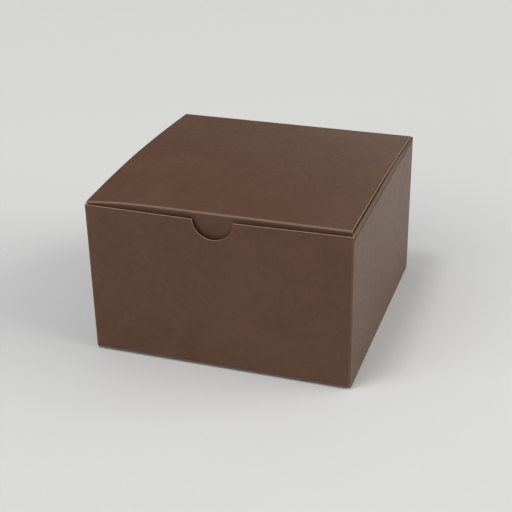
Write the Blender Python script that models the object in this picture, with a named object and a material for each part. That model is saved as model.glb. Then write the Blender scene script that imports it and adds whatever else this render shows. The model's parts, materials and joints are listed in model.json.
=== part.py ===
"""Tuck top box, folded from one die cut sheet of thin board.

The sheet is modelled as its panels, each bounded by the creases that it folds on:
a glued four wall sleeve, an interlocking self locking bottom with two glue lugs,
two dust flaps on the side walls, and a lid with a tuck flap on the back wall.

Frame: X runs to the right, Y from the front to the back, Z up. The origin is under
the middle of the box, on the surface that it stands on.
"""

import math

import bmesh
import bpy
from mathutils import Matrix, Vector

MM = 0.001

# Board and clearances
BOARD = 0.6 * MM
LAYER_GAP = 0.3 * MM
CREASE_GAP = 0.3 * MM
FOLD_INNER_RADIUS = 0.3 * MM
NOSE_ROUND_SHARE = 0.92

# Box, inside
INSIDE_WIDTH = 127.0 * MM
INSIDE_DEPTH = 127.0 * MM
INSIDE_HEIGHT = 76.2 * MM

# Thumb notch in the front wall
NOTCH_RADIUS = 9.9 * MM
NOTCH_MOUTH_RADIUS = 0.9 * MM

# Seam tab, glued inside the left wall
TAB_WIDTH = 16.0 * MM
TAB_END_CLEARANCE = 2.4 * MM
TAB_END_TAPER = 5.0 * MM

# Lid
LID_CREASE_RISE = 0.3 * MM
LID_FRONT_RISE = 2.4 * MM
LID_FRONT_SETBACK = 1.7 * MM
LID_LEFT_INSET = 0.3 * MM
LID_RIGHT_INSET = 1.4 * MM
LID_CROWN = 1.5 * MM

# Tuck flap
TUCK_LENGTH = 18.0 * MM
TUCK_LEFT_INSET = 1.5 * MM
TUCK_RIGHT_INSET = 1.9 * MM
TUCK_SIDE_TAPER = 1.6 * MM
TUCK_CORNER_RADIUS = 9.0 * MM
TUCK_LEAN_DEG = 3.0

# Dust flaps
DUST_CREASE_RISE = -0.3 * MM
DUST_REACH = 45.0 * MM
DUST_FRONT_START = 1.8 * MM
DUST_SHOULDER = 3.2 * MM
DUST_FRONT_TAPER = 3.7 * MM
DUST_BACK_START = 4.0 * MM
DUST_BACK_TAPER = 24.7 * MM
DUST_FRONT_RADIUS = 8.0 * MM
DUST_BACK_RADIUS = 10.0 * MM
DUST_LIFT_DEG = 1.2

# Bottom, the two main flaps that hook into each other
MAIN_SIDE_CLEARANCE = 1.0 * MM
MAIN_SIDE_TAPER = 1.5 * MM
SHORT_EDGE_SETBACK = 2.0 * MM
RAMP_RUN = 4.0 * MM
TONGUE_OVERLAP = 14.0 * MM
TONGUE_CORNER_RADIUS = 12.0 * MM
SHORT_CORNER_RADIUS = 5.0 * MM
SLOT_WIDTH = 2.0 * MM
SLOT_RUN_PAST_RAMP = 3.0 * MM
HOOK_REACH = 4.0 * MM
HOOK_LENGTH = 4.5 * MM
HOOK_RADIUS = 1.6 * MM

# Bottom, the two side flaps and their glue lugs
SIDE_FLAP_DEPTH = 38.0 * MM
SIDE_FLAP_END_CLEARANCE = 1.2 * MM
SIDE_FLAP_TAPER = 14.0 * MM
SIDE_FLAP_RADIUS = 3.0 * MM
LUG_WIDTH = 20.0 * MM
LUG_WALL_CLEARANCE = 1.5 * MM
LUG_RADIUS = 2.5 * MM

# Facets
FOLD_STEPS = 4
NOSE_STEPS = 3
CORNER_STEPS = 5
NOTCH_STEPS = 20
CROWN_STEPS = 14

# Sizes worked out from the ones above
HALF_WIDTH = INSIDE_WIDTH / 2 + BOARD
HALF_DEPTH = INSIDE_DEPTH / 2 + BOARD
WALL_TOP = INSIDE_HEIGHT + 2 * BOARD
FOLD_OUTER_RADIUS = FOLD_INNER_RADIUS + BOARD
NOSE_RADIUS = BOARD / 2
MAIN_FLAP_LEVEL = BOARD + LAYER_GAP
TONGUE_LEVEL = MAIN_FLAP_LEVEL + BOARD + LAYER_GAP
MAIN_WALL_BOTTOM = MAIN_FLAP_LEVEL + FOLD_OUTER_RADIUS + CREASE_GAP
SIDE_WALL_BOTTOM = FOLD_OUTER_RADIUS + CREASE_GAP
DUST_AXIS_HEIGHT = WALL_TOP + DUST_CREASE_RISE - NOSE_RADIUS
SIDE_WALL_TOP = DUST_AXIS_HEIGHT - NOSE_RADIUS - CREASE_GAP
LID_AXIS_HEIGHT = WALL_TOP + LID_CREASE_RISE - NOSE_RADIUS
BACK_WALL_TOP = LID_AXIS_HEIGHT - NOSE_RADIUS - CREASE_GAP
LID_AXIS_DEPTH = HALF_DEPTH - NOSE_RADIUS
LID_LEFT = HALF_WIDTH - LID_LEFT_INSET
LID_RIGHT = HALF_WIDTH - LID_RIGHT_INSET
TUCK_AXIS_HEIGHT = WALL_TOP + LID_FRONT_RISE - NOSE_RADIUS
TUCK_AXIS_DEPTH = -HALF_DEPTH + LID_FRONT_SETBACK + NOSE_RADIUS

# Which way each wall faces, as a turn about Z from the front
FRONT_TURN = 0.0
RIGHT_TURN = math.pi / 2
BACK_TURN = math.pi
LEFT_TURN = -math.pi / 2

# Looks, as linear colour
PRINTED_BROWN = (0.109, 0.061, 0.042, 1.0)
GREYED_BROWN = (0.168, 0.120, 0.091, 1.0)
KRAFT = (0.480, 0.310, 0.190, 1.0)
PRINTED_ROUGHNESS = 0.55
KRAFT_ROUGHNESS = 0.85


def clear_scene():
    """Remove what the scene starts with."""
    for thing in list(bpy.data.objects):
        bpy.data.objects.remove(thing, do_unlink=True)


def board_material(name, colour, roughness):
    """Return a plain paper board finish."""
    finish = bpy.data.materials.new(name)
    finish.use_nodes = True
    shader = finish.node_tree.nodes["Principled BSDF"]
    shader.inputs["Base Color"].default_value = colour
    shader.inputs["Roughness"].default_value = roughness
    shader.inputs["Metallic"].default_value = 0.0
    return finish


def arc(centre, radius, start, end, steps):
    """Return points on an arc of a circle, both ends among them."""
    return [
        (
            centre[0] + radius * math.cos(start + (end - start) * step / steps),
            centre[1] + radius * math.sin(start + (end - start) * step / steps),
        )
        for step in range(steps + 1)
    ]


def rounded(corners):
    """Return an outline from corners (u, v, radius), each rounded by its radius."""
    outline = []
    count = len(corners)
    for index, (u, v, radius) in enumerate(corners):
        here = Vector((u, v))
        if radius == 0.0:
            outline.append((u, v))
            continue
        before = Vector(corners[index - 1][:2])
        after = Vector(corners[(index + 1) % count][:2])
        back = (before - here).normalized()
        ahead = (after - here).normalized()
        half_angle = back.angle(ahead) / 2
        bisector = (back + ahead).normalized()
        centre = here + bisector * (radius / math.sin(half_angle))
        run = radius / math.tan(half_angle)
        first = here + back * run - centre
        last = here + ahead * run - centre
        start = math.atan2(first.y, first.x)
        sweep = first.angle_signed(last)
        outline.extend(arc(centre, radius, start, start - sweep, CORNER_STEPS))
    return outline


def board_from_outline(outline, low, high):
    """Return a flat board: an outline in U and V, made thick from low to high."""
    bm = bmesh.new()
    corners = [bm.verts.new((u, v, low)) for u, v in outline]
    face = bm.faces.new(corners)
    raised = bmesh.ops.extrude_face_region(bm, geom=[face])["geom"]
    top = [item for item in raised if isinstance(item, bmesh.types.BMVert)]
    bmesh.ops.translate(bm, verts=top, vec=(0.0, 0.0, high - low))
    bmesh.ops.recalc_face_normals(bm, faces=bm.faces)
    return bm


def edge_face(bm, towards, at):
    """Return the cut edge of a board whose face looks towards a direction, nearest a point."""
    direction = Vector(towards)
    facing = [face for face in bm.faces if face.normal.dot(direction) > math.cos(math.radians(3))]
    return min(facing, key=lambda face: (face.calc_center_median() - Vector(at)).length)


def extend(bm, face):
    """Extrude a cut edge and return the new one, still in its old place."""
    grown = bmesh.ops.extrude_face_region(bm, geom=[face])["geom"]
    bmesh.ops.delete(bm, geom=[face], context="FACES_ONLY")
    return next(item for item in grown if isinstance(item, bmesh.types.BMFace))


def fold_edge(bm, face, centre, axis, angle, steps):
    """Carry a cut edge round an arc, as the board does at a fold."""
    turn = Matrix.Rotation(angle / steps, 3, Vector(axis))
    for _ in range(steps):
        face = extend(bm, face)
        bmesh.ops.rotate(bm, verts=face.verts, cent=Vector(centre), matrix=turn)
    return face


def round_nose(bm, face):
    """Round the long edges of a hinge end, so that it turns in place on its crease."""
    longest = max(edge.calc_length() for edge in face.edges)
    long_edges = [edge for edge in face.edges if edge.calc_length() > longest / 2]
    bmesh.ops.bevel(
        bm,
        geom=long_edges,
        offset=NOSE_RADIUS * NOSE_ROUND_SHARE,
        offset_type="OFFSET",
        segments=NOSE_STEPS,
        profile=0.5,
        affect="EDGES",
    )


def standing(turn, half):
    """Return the place of a wall drawn from outside: U across, V up, W outwards."""
    upright = Matrix.Rotation(math.pi / 2, 4, "X")
    return Matrix.Rotation(turn, 4, "Z") @ Matrix.Translation((0.0, -half, 0.0)) @ upright


def lying(turn, half, height):
    """Return the place of a flap drawn from above: U along its crease, V inwards."""
    return Matrix.Rotation(turn, 4, "Z") @ Matrix.Translation((0.0, -half, height))


def finish_board(name, bm, place, finish):
    """Make the object for a board panel, with its mesh drawn about the object's origin."""
    bmesh.ops.recalc_face_normals(bm, faces=bm.faces)
    mesh = bpy.data.meshes.new(name)
    bm.to_mesh(mesh)
    bm.free()
    mesh.materials.append(finish)
    panel = bpy.data.objects.new(name, mesh)
    panel.matrix_world = place
    bpy.context.scene.collection.objects.link(panel)
    return panel


def fold_wall_end(bm, side, half_length, low, high):
    """Carry a wall's end round its quarter fold, towards the inside of the box."""
    flat_end = half_length - FOLD_OUTER_RADIUS
    middle = (low + high) / 2
    face = edge_face(bm, (side, 0.0, 0.0), (side * flat_end, middle, 0.0))
    centre = (side * flat_end, middle, -FOLD_OUTER_RADIUS)
    fold_edge(bm, face, centre, (0.0, 1.0, 0.0), side * math.pi / 2, FOLD_STEPS)


def notch_edge():
    """Return the thumb notch from its left to its right mouth corner."""
    reach = NOTCH_RADIUS + NOTCH_MOUTH_RADIUS
    mouth = math.sqrt(reach ** 2 - NOTCH_MOUTH_RADIUS ** 2)
    dip = math.atan2(NOTCH_MOUTH_RADIUS, mouth)
    corner_height = WALL_TOP - NOTCH_MOUTH_RADIUS
    left = arc((-mouth, corner_height), NOTCH_MOUTH_RADIUS, math.pi / 2, dip, CORNER_STEPS)
    bowl = arc((0.0, WALL_TOP), NOTCH_RADIUS, math.pi + dip, 2 * math.pi - dip, NOTCH_STEPS)
    right = arc((mouth, corner_height), NOTCH_MOUTH_RADIUS, math.pi - dip, math.pi / 2, CORNER_STEPS)
    return left + bowl[1:-1] + right


def make_front_wall(finish):
    """Front wall, with the thumb notch and both front corner folds."""
    flat_end = HALF_WIDTH - FOLD_OUTER_RADIUS
    outline = [(-flat_end, MAIN_WALL_BOTTOM), (-flat_end, WALL_TOP)]
    outline += notch_edge()
    outline += [(flat_end, WALL_TOP), (flat_end, MAIN_WALL_BOTTOM)]
    bm = board_from_outline(outline, -BOARD, 0.0)
    for side in (-1, 1):
        fold_wall_end(bm, side, HALF_WIDTH, MAIN_WALL_BOTTOM, WALL_TOP)
    return finish_board("front_wall", bm, standing(FRONT_TURN, HALF_DEPTH), finish)


def make_right_wall(finish):
    """Right wall, flat between the two folds that its neighbours carry."""
    flat_end = HALF_DEPTH - FOLD_OUTER_RADIUS - CREASE_GAP
    outline = [
        (-flat_end, SIDE_WALL_BOTTOM),
        (flat_end, SIDE_WALL_BOTTOM),
        (flat_end, SIDE_WALL_TOP),
        (-flat_end, SIDE_WALL_TOP),
    ]
    bm = board_from_outline(outline, -BOARD, 0.0)
    return finish_board("right_wall", bm, standing(RIGHT_TURN, HALF_WIDTH), finish)


def make_left_wall(finish):
    """Left wall, which runs past the seam to a raw edge flush with the back."""
    front_end = HALF_DEPTH - FOLD_OUTER_RADIUS - CREASE_GAP
    outline = [
        (-HALF_DEPTH, SIDE_WALL_BOTTOM),
        (front_end, SIDE_WALL_BOTTOM),
        (front_end, SIDE_WALL_TOP),
        (-HALF_DEPTH, SIDE_WALL_TOP),
    ]
    bm = board_from_outline(outline, -BOARD, 0.0)
    return finish_board("left_wall", bm, standing(LEFT_TURN, HALF_WIDTH), finish)


def seam_fold_end():
    """Return how far from the middle the back wall's flat part ends at the seam."""
    tab_outer_face = HALF_WIDTH - BOARD - LAYER_GAP
    return tab_outer_face - FOLD_OUTER_RADIUS


def make_back_wall(finish):
    """Back wall, with the back right fold and the tighter fold to the seam tab."""
    right_end = HALF_WIDTH - FOLD_OUTER_RADIUS
    seam_end = seam_fold_end()
    outline = [
        (-right_end, MAIN_WALL_BOTTOM),
        (seam_end, MAIN_WALL_BOTTOM),
        (seam_end, BACK_WALL_TOP),
        (-right_end, BACK_WALL_TOP),
    ]
    bm = board_from_outline(outline, -BOARD, 0.0)
    fold_wall_end(bm, -1, HALF_WIDTH, MAIN_WALL_BOTTOM, BACK_WALL_TOP)
    fold_wall_end(bm, 1, seam_end + FOLD_OUTER_RADIUS, MAIN_WALL_BOTTOM, BACK_WALL_TOP)
    return finish_board("back_wall", bm, standing(BACK_TURN, HALF_DEPTH), finish)


def make_seam_tab(finish):
    """Glue tab of the sleeve, folded on from the back wall inside the left wall."""
    near = HALF_DEPTH - FOLD_OUTER_RADIUS - CREASE_GAP
    far = near - TAB_WIDTH
    low = TONGUE_LEVEL + BOARD + TAB_END_CLEARANCE
    high = SIDE_WALL_TOP - TAB_END_CLEARANCE
    outline = rounded(
        [
            (-near, low, 0.0),
            (-far, low + TAB_END_TAPER, SIDE_FLAP_RADIUS),
            (-far, high - TAB_END_TAPER, SIDE_FLAP_RADIUS),
            (-near, high, 0.0),
        ]
    )
    bm = board_from_outline(outline, -BOARD, 0.0)
    place = standing(LEFT_TURN, HALF_WIDTH - BOARD - LAYER_GAP)
    return finish_board("seam_tab", bm, place, finish)


def fold_flap_up(bm, middle):
    """Carry a bottom flap's crease edge up its quarter fold, to meet its wall."""
    face = edge_face(bm, (0.0, -1.0, 0.0), (middle, 0.0, BOARD / 2))
    centre = (middle, 0.0, FOLD_OUTER_RADIUS)
    fold_edge(bm, face, centre, (1.0, 0.0, 0.0), -math.pi / 2, FOLD_STEPS)


def main_flap_base():
    """Return the outline of a main bottom flap's lower level: its root and short half."""
    half = INSIDE_WIDTH / 2 - MAIN_SIDE_CLEARANCE
    centre_line = HALF_DEPTH - FOLD_OUTER_RADIUS
    short_edge = centre_line - SHORT_EDGE_SETBACK
    ramp_start = short_edge - RAMP_RUN
    slot_root = ramp_start - SLOT_RUN_PAST_RAMP
    slot = SLOT_WIDTH / 2
    return rounded(
        [
            (-half, 0.0, 0.0),
            (half, 0.0, 0.0),
            (half - MAIN_SIDE_TAPER, short_edge, SHORT_CORNER_RADIUS),
            (slot, short_edge, 0.0),
            (slot, slot_root, 0.0),
            (-slot, slot_root, 0.0),
            (-slot, ramp_start, 0.0),
            (-half + MAIN_SIDE_TAPER, ramp_start, 0.0),
        ]
    )


def main_flap_tongue():
    """Return the outline of a main bottom flap's long half, with its hook."""
    half = INSIDE_WIDTH / 2 - MAIN_SIDE_CLEARANCE
    centre_line = HALF_DEPTH - FOLD_OUTER_RADIUS
    ramp_end = centre_line - SHORT_EDGE_SETBACK
    far = centre_line + TONGUE_OVERLAP
    slot = SLOT_WIDTH / 2
    return rounded(
        [
            (-half + MAIN_SIDE_TAPER, ramp_end, 0.0),
            (-slot, ramp_end, 0.0),
            (-slot, far - HOOK_LENGTH, 0.0),
            (HOOK_REACH - slot, far - HOOK_LENGTH, HOOK_RADIUS),
            (HOOK_REACH - slot, far, HOOK_RADIUS),
            (-half + MAIN_SIDE_TAPER, far, TONGUE_CORNER_RADIUS),
        ]
    )


def make_main_bottom_flap(name, turn, finish):
    """Main bottom flap: its tongue climbs a ramp and hooks over the opposite flap."""
    centre_line = HALF_DEPTH - FOLD_OUTER_RADIUS
    ramp_end = centre_line - SHORT_EDGE_SETBACK
    ramp_start = ramp_end - RAMP_RUN
    step = TONGUE_LEVEL - MAIN_FLAP_LEVEL
    left_middle = -INSIDE_WIDTH / 4
    bm = board_from_outline(main_flap_base(), 0.0, BOARD)
    tongue = board_from_outline(main_flap_tongue(), step, step + BOARD)
    carried = bpy.data.meshes.new(name + "_tongue")
    tongue.to_mesh(carried)
    tongue.free()
    bm.from_mesh(carried)
    bpy.data.meshes.remove(carried)
    bm.normal_update()
    low_end = edge_face(bm, (0.0, 1.0, 0.0), (left_middle, ramp_start, BOARD / 2))
    high_end = edge_face(bm, (0.0, -1.0, 0.0), (left_middle, ramp_end, step + BOARD / 2))
    rims = list(low_end.edges) + list(high_end.edges)
    bmesh.ops.delete(bm, geom=[low_end, high_end], context="FACES_ONLY")
    bmesh.ops.bridge_loops(bm, edges=rims)
    bm.normal_update()
    fold_flap_up(bm, 0.0)
    place = lying(turn, HALF_DEPTH - FOLD_OUTER_RADIUS, MAIN_FLAP_LEVEL)
    return finish_board(name, bm, place, finish)


def diagonal(v, offset):
    """Return U on the side flap's diagonal crease at V, set off by a perpendicular gap."""
    corner = HALF_DEPTH - FOLD_OUTER_RADIUS
    return corner - v + offset * math.sqrt(2)


def make_side_bottom_flap(name, turn, finish):
    """Side bottom flap, with a diagonal crease at one end and a free taper at the other."""
    free_end = INSIDE_DEPTH / 2 - SIDE_FLAP_END_CLEARANCE
    half_gap = CREASE_GAP / 2
    outline = rounded(
        [
            (-free_end, 0.0, 0.0),
            (diagonal(0.0, -half_gap), 0.0, 0.0),
            (diagonal(SIDE_FLAP_DEPTH, -half_gap), SIDE_FLAP_DEPTH, 0.0),
            (-free_end + SIDE_FLAP_TAPER, SIDE_FLAP_DEPTH, SIDE_FLAP_RADIUS),
        ]
    )
    bm = board_from_outline(outline, 0.0, BOARD)
    fold_flap_up(bm, 0.0)
    return finish_board(name, bm, lying(turn, HALF_WIDTH - FOLD_OUTER_RADIUS, 0.0), finish)


def make_glue_lug(name, turn, finish):
    """Glue lug, beyond the diagonal crease, which is glued under a main flap."""
    half_gap = CREASE_GAP / 2
    wall_side = INSIDE_DEPTH / 2 - LUG_WALL_CLEARANCE
    near_v = diagonal(0.0, half_gap) - wall_side
    far_v = diagonal(0.0, half_gap + LUG_WIDTH) - wall_side
    end_run = LUG_WIDTH / math.sqrt(2)
    end_u = diagonal(SIDE_FLAP_DEPTH, half_gap)
    outline = rounded(
        [
            (wall_side, near_v, 0.0),
            (wall_side, far_v, LUG_RADIUS),
            (end_u + end_run, SIDE_FLAP_DEPTH + end_run, LUG_RADIUS),
            (end_u, SIDE_FLAP_DEPTH, 0.0),
        ]
    )
    bm = board_from_outline(outline, 0.0, BOARD)
    return finish_board(name, bm, lying(turn, HALF_WIDTH - FOLD_OUTER_RADIUS, 0.0), finish)


def make_dust_flap(name, turn, finish):
    """Dust flap, hinged on a side wall's top crease and sprung up a little under the lid."""
    front_sign = 1 if turn == LEFT_TURN else -1
    front = HALF_DEPTH - DUST_FRONT_START
    shoulder = front - DUST_SHOULDER
    back = HALF_DEPTH - DUST_BACK_START
    outline = rounded(
        [
            (front_sign * front, -NOSE_RADIUS, 0.0),
            (front_sign * shoulder, DUST_SHOULDER - NOSE_RADIUS, 0.0),
            (front_sign * (shoulder - DUST_FRONT_TAPER), DUST_REACH, DUST_FRONT_RADIUS),
            (-front_sign * (back - DUST_BACK_TAPER), DUST_REACH, DUST_BACK_RADIUS),
            (-front_sign * back, -NOSE_RADIUS, 0.0),
        ]
    )
    bm = board_from_outline(outline, -BOARD / 2, BOARD / 2)
    round_nose(bm, edge_face(bm, (0.0, -1.0, 0.0), (0.0, -NOSE_RADIUS, 0.0)))
    lift = Matrix.Rotation(math.radians(DUST_LIFT_DEG), 4, "X")
    place = lying(turn, HALF_WIDTH - NOSE_RADIUS, DUST_AXIS_HEIGHT) @ lift
    return finish_board(name, bm, place, finish)


def make_lid_panel(finish):
    """Lid panel, hinged on the back wall's crease and crowned from back to front.

    It is drawn facing the back, so its left end is at plus U. It sits nearer the left
    wall than the right one.
    """
    run = LID_AXIS_DEPTH - TUCK_AXIS_DEPTH
    rise = TUCK_AXIS_HEIGHT - LID_AXIS_HEIGHT
    chord = math.hypot(run, rise)
    bend_radius = (chord ** 2 / 4 + LID_CROWN ** 2) / (2 * LID_CROWN)
    bend_angle = 2 * math.asin(chord / 2 / bend_radius)
    hinge_end = [
        (-LID_RIGHT, -NOSE_RADIUS),
        (LID_LEFT, -NOSE_RADIUS),
        (LID_LEFT, 0.0),
        (-LID_RIGHT, 0.0),
    ]
    bm = board_from_outline(hinge_end, -BOARD / 2, BOARD / 2)
    front_face = edge_face(bm, (0.0, 1.0, 0.0), (0.0, 0.0, 0.0))
    centre = (0.0, 0.0, -bend_radius)
    front_face = fold_edge(bm, front_face, centre, (1.0, 0.0, 0.0), -bend_angle, CROWN_STEPS)
    front_face = extend(bm, front_face)
    bmesh.ops.translate(bm, verts=front_face.verts, vec=front_face.normal * NOSE_RADIUS)
    corner_edges = [edge for edge in front_face.edges if edge.calc_length() < 2 * BOARD]
    bmesh.ops.recalc_face_normals(bm, faces=bm.faces)
    bmesh.ops.bevel(
        bm,
        geom=corner_edges,
        offset=NOSE_RADIUS * NOSE_ROUND_SHARE,
        offset_type="OFFSET",
        segments=NOSE_STEPS,
        profile=0.5,
        affect="EDGES",
    )
    bm.normal_update()
    round_nose(bm, edge_face(bm, (0.0, -1.0, 0.0), (0.0, -NOSE_RADIUS, 0.0)))
    climb = math.atan2(rise, run) + bend_angle / 2
    slope = Matrix.Rotation(climb, 4, "X")
    place = lying(BACK_TURN, LID_AXIS_DEPTH, LID_AXIS_HEIGHT) @ slope
    return finish_board("lid_panel", bm, place, finish)


def make_tuck_flap(finish):
    """Tuck flap, which hangs from the lid's front crease behind the front wall."""
    left = HALF_WIDTH - TUCK_LEFT_INSET
    right = HALF_WIDTH - TUCK_RIGHT_INSET
    top = NOSE_RADIUS + CREASE_GAP
    outline = rounded(
        [
            (-left, top, 0.0),
            (right, top, 0.0),
            (right - TUCK_SIDE_TAPER, TUCK_LENGTH, TUCK_CORNER_RADIUS),
            (-left + TUCK_SIDE_TAPER, TUCK_LENGTH, TUCK_CORNER_RADIUS),
        ]
    )
    bm = board_from_outline(outline, -BOARD / 2, BOARD / 2)
    round_nose(bm, edge_face(bm, (0.0, -1.0, 0.0), (0.0, top, 0.0)))
    hang = Matrix.Rotation(-math.pi / 2 + math.radians(TUCK_LEAN_DEG), 4, "X")
    place = Matrix.Translation((0.0, TUCK_AXIS_DEPTH, TUCK_AXIS_HEIGHT)) @ hang
    return finish_board("tuck_flap", bm, place, finish)


def hang_on(child, parent):
    """Parent one panel to another and keep it where it is."""
    place = child.matrix_world.copy()
    child.parent = parent
    child.matrix_parent_inverse = parent.matrix_world.inverted()
    child.matrix_world = place


def build_box():
    """Make every panel of the box."""
    clear_scene()
    printed = board_material("printed_board", PRINTED_BROWN, PRINTED_ROUGHNESS)
    side_printed = board_material("side_printed_board", GREYED_BROWN, PRINTED_ROUGHNESS)
    kraft = board_material("kraft_board", KRAFT, KRAFT_ROUGHNESS)
    make_front_wall(printed)
    make_right_wall(side_printed)
    make_back_wall(printed)
    make_left_wall(side_printed)
    make_seam_tab(kraft)
    make_main_bottom_flap("bottom_front_flap", FRONT_TURN, printed)
    make_main_bottom_flap("bottom_back_flap", BACK_TURN, printed)
    for side, turn in (("left", LEFT_TURN), ("right", RIGHT_TURN)):
        make_side_bottom_flap("bottom_" + side + "_flap", turn, printed)
        make_glue_lug("glue_lug_" + side, turn, kraft)
        make_dust_flap("dust_flap_" + side, turn, printed)
    lid = make_lid_panel(printed)
    tuck = make_tuck_flap(printed)
    bpy.context.view_layer.update()
    hang_on(tuck, lid)


build_box()
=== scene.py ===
"""Looks of the tuck top box: every panel is cut flat as a die cutter would, then folded.

A blank is a flat outline with its creases scored on it. One Geometry Nodes tree folds it
along a path, gives it the board's thickness, and paints its print, its kraft inside and
its cut edges. Lengths are in metres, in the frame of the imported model.
"""

import json
import logging
import math
from dataclasses import dataclass
from enum import Enum
from typing import Any, Callable, Optional

import bmesh
import bpy
from mathutils import Matrix, Vector

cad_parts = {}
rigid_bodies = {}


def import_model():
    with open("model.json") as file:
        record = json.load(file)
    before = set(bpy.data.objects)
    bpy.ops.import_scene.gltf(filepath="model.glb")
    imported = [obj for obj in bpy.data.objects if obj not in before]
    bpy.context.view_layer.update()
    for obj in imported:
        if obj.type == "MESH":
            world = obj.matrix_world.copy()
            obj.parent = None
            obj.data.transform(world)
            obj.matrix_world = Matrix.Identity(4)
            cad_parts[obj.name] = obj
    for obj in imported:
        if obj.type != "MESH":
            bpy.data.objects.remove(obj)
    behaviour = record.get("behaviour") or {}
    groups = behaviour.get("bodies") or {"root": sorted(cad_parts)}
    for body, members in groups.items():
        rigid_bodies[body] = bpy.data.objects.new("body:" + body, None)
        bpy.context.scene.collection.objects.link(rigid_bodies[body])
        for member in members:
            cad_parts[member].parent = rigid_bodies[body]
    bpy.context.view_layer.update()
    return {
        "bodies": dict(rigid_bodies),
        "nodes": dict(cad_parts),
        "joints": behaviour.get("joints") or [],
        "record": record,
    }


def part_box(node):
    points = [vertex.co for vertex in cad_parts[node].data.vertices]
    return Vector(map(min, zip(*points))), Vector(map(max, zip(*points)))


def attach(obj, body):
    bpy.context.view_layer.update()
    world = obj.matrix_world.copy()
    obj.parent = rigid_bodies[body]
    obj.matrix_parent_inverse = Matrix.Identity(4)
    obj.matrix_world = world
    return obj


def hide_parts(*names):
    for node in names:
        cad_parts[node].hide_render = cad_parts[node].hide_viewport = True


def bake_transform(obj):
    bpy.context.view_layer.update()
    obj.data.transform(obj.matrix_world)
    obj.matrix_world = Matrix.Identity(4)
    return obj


LOG = logging.getLogger("tuck_top_box")
MM = 0.001
UP = Vector((0.0, 0.0, 1.0))
CORNER_STEPS = 8

Point = tuple[float, float]
Colour = tuple[float, float, float]


def linear(red: int, green: int, blue: int) -> Colour:
    """Turn a screen colour of 0 to 255 into linear light, by the sRGB curve.

    Args:
        red: Red on the screen.
        green: Green on the screen.
        blue: Blue on the screen.

    Returns:
        The same colour as linear values of 0 to 1.
    """
    def channel(value: int) -> float:
        """Return one channel's linear value."""
        share = value / 255
        return share / 12.92 if share <= 0.04045 else ((share + 0.055) / 1.055) ** 2.4

    return channel(red), channel(green), channel(blue)


class Signal:
    """A node's output that adds Math nodes when it is used in an expression."""

    def __init__(self, graph: "Graph", socket: bpy.types.NodeSocket) -> None:
        """Keep the graph and the socket."""
        self.graph = graph
        self.socket = socket

    def _math(self, operation: str, first: Any, second: Any) -> "Signal":
        """Return the result of a Math node on two values or signals."""
        node = self.graph.node("ShaderNodeMath", {"operation": operation}, {0: first, 1: second})
        return Signal(self.graph, node.outputs[0])

    def __add__(self, other: Any) -> "Signal":
        """Return self + other."""
        return self._math("ADD", self, other)

    __radd__ = __add__

    def __sub__(self, other: Any) -> "Signal":
        """Return self - other."""
        return self._math("SUBTRACT", self, other)

    def __rsub__(self, other: Any) -> "Signal":
        """Return other - self."""
        return self._math("SUBTRACT", other, self)

    def __mul__(self, other: Any) -> "Signal":
        """Return self * other."""
        return self._math("MULTIPLY", self, other)

    __rmul__ = __mul__

    def above(self, low: float, high: float) -> "Signal":
        """Return 0 below low and 1 above high, with a smooth step between them."""
        node = self.graph.node("ShaderNodeMapRange", {"interpolation_type": "SMOOTHSTEP"}, {
            "Value": self, "From Min": low, "From Max": high})
        return Signal(self.graph, node.outputs[0])


class Graph:
    """Builds the nodes of one material or one Geometry Nodes tree."""

    def __init__(self, tree: bpy.types.NodeTree) -> None:
        """Keep the tree that the nodes go into."""
        self.tree = tree

    def node(
        self,
        kind: str,
        settings: Optional[dict[str, Any]] = None,
        sockets: Optional[dict[Any, Any]] = None,
    ) -> bpy.types.Node:
        """Add a node.

        Args:
            kind: The node's type.
            settings: Its own settings, set before its sockets.
            sockets: Values, sockets or signals for its inputs, by name or number.

        Returns:
            The new node.
        """
        made = self.tree.nodes.new(kind)
        for name, value in (settings or {}).items():
            if name == "stops":
                self._set_stops(made.color_ramp, value)
            else:
                setattr(made, name, value)
        self.feed(made, sockets or {})
        return made

    def feed(self, node: bpy.types.Node, sockets: dict[Any, Any]) -> None:
        """Link signals or sockets to a node's inputs, or set the inputs' values.

        Args:
            node: The node.
            sockets: What each input gets, by its name or number.
        """
        for key, value in sockets.items():
            target = node.inputs[key]
            if isinstance(value, Signal):
                self.tree.links.new(value.socket, target)
            elif isinstance(value, bpy.types.NodeSocket):
                self.tree.links.new(value, target)
            elif target.type == "RGBA" and len(value) == 3:
                target.default_value = (*value, 1.0)
            else:
                target.default_value = value

    @staticmethod
    def _set_stops(ramp: bpy.types.ColorRamp, stops: list[tuple[float, Colour]]) -> None:
        """Give a colour ramp its stops.

        Args:
            ramp: The ramp.
            stops: Position and colour of each stop, in order.
        """
        while len(ramp.elements) < len(stops):
            ramp.elements.new(1.0)
        for element, (position, colour) in zip(ramp.elements, stops):
            element.position = position
            element.color = (*colour, 1.0)

    def noise(self, vector: Any, size: float, detail: float, warp: float = 0.0) -> Signal:
        """Add a noise pattern.

        Args:
            vector: The coordinates that it reads.
            size: The width of its patches, in metres.
            detail: How many finer layers it has.
            warp: How far it is distorted.

        Returns:
            The pattern, about 0.5 on the whole.
        """
        sockets = {"Vector": vector, "Scale": 1.0 / size, "Detail": detail, "Distortion": warp}
        return Signal(self, self.node("ShaderNodeTexNoise", {}, sockets).outputs[0])

    def mix(self, share: Any, first: Any, second: Any) -> bpy.types.NodeSocket:
        """Return a colour that goes from the first to the second as the share grows."""
        node = self.node("ShaderNodeMix", {"data_type": "RGBA"}, {0: share, 6: first, 7: second})
        return node.outputs[2]


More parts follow.
